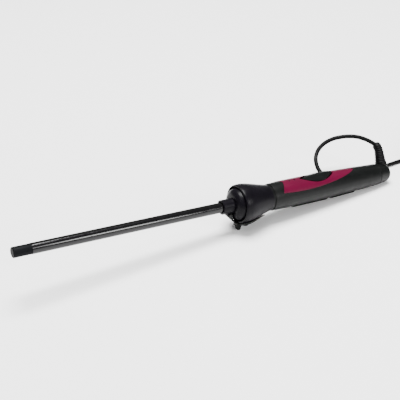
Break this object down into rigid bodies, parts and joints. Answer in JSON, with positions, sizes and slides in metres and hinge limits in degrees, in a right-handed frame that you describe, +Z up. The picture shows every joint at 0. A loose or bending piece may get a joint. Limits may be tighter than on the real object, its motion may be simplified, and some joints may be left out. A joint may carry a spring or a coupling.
{
  "type": "curling iron",
  "caption": "Slim curling wand with a black barrel, bell housing, fold-out rest, raspberry insert, rocker switch and a swivel cord folded into a hank.",
  "frame": {"origin": "middle of the wand's own box, on the surface that it rests on with its stand's foot and its handle's end", "axes": "+X from the tip to the tail along the surface, +Z up, the rocker switch faces up; the barrel rises 5.9 degrees towards the tip"},
  "size_m": [0.53, 0.0662, 0.0505],
  "materials": {
    "glossy_barrel": "gloss ceramic-coated black",
    "tip_plastic": "matte bluish black",
    "ceramic": "unglazed ceramic",
    "steel": "zinc plated",
    "dark_pin": "blackened steel",
    "brass": "spring brass",
    "inner_plastic": "moulded heat-resistant plastic",
    "cap_plastic": "fine matte black",
    "handle_plastic": "satin black",
    "grip_rubber": "fine ribbed matte",
    "insert_plastic": "satin raspberry",
    "lamp_lens": "dark red tinted",
    "board": "green solder mask",
    "rocker_plastic": "satin black",
    "stand_plastic": "matte black",
    "wire": "brown sleeving",
    "cord_rubber": "satin black",
    "tie": "soft black",
    "plug_plastic": "satin black",
    "plug_metal": "bright nickel"
  },
  "bodies": {
    "wand": {"barrel_tube": "glossy_barrel", "cool_tip": "tip_plastic", "heater_rod": "ceramic", "rod_spacers": "ceramic", "heater_leads": "steel", "thermal_fuse": "steel", "barrel_holder": "inner_plastic", "holder_screws": "steel", "front_cap": "cap_plastic", "bell_housing": "cap_plastic", "upper_shell": "handle_plastic", "lower_shell": "handle_plastic", "shell_screws": "steel", "grip_pads": "grip_rubber", "insert_panel": "insert_plastic", "lamp_windows": "lamp_lens", "board_lamps": "inner_plastic", "circuit_board": "board", "switch_body": "inner_plastic", "stand_pin": "dark_pin", "supply_wires": "wire", "contact_springs": "brass"},
    "stand": {"stand": "stand_plastic"},
    "rocker": {"switch_rocker": "rocker_plastic"},
    "swivel": {"swivel_cap": "handle_plastic", "slip_rings": "brass", "swivel_clip": "steel", "strain_relief": "cord_rubber", "cord_tube": "cord_rubber", "cord_hank": "cord_rubber", "hank_tie": "tie", "plug_lead": "cord_rubber", "plug_body": "plug_plastic", "plug_pins": "plug_metal"}
  },
  "joints": [
    {"name": "stand_hinge", "type": "hinge", "parent": "wand", "child": "stand", "pos_m": [0.00614, 0, 0.01804], "axis": [0, 1, 0], "range_deg": [0, 100]},
    {"name": "rocker_tilt", "type": "hinge", "parent": "wand", "child": "rocker", "pos_m": [0.09821, 0, 0.02387], "axis": [0, 1, 0], "range_deg": [0, 8]},
    {"name": "cord_swivel", "type": "hinge", "parent": "wand", "child": "swivel", "pos_m": [0.17652, 0, 0.0092], "axis": [0.9948, 0, -0.102], "continuous": true}
  ]
}
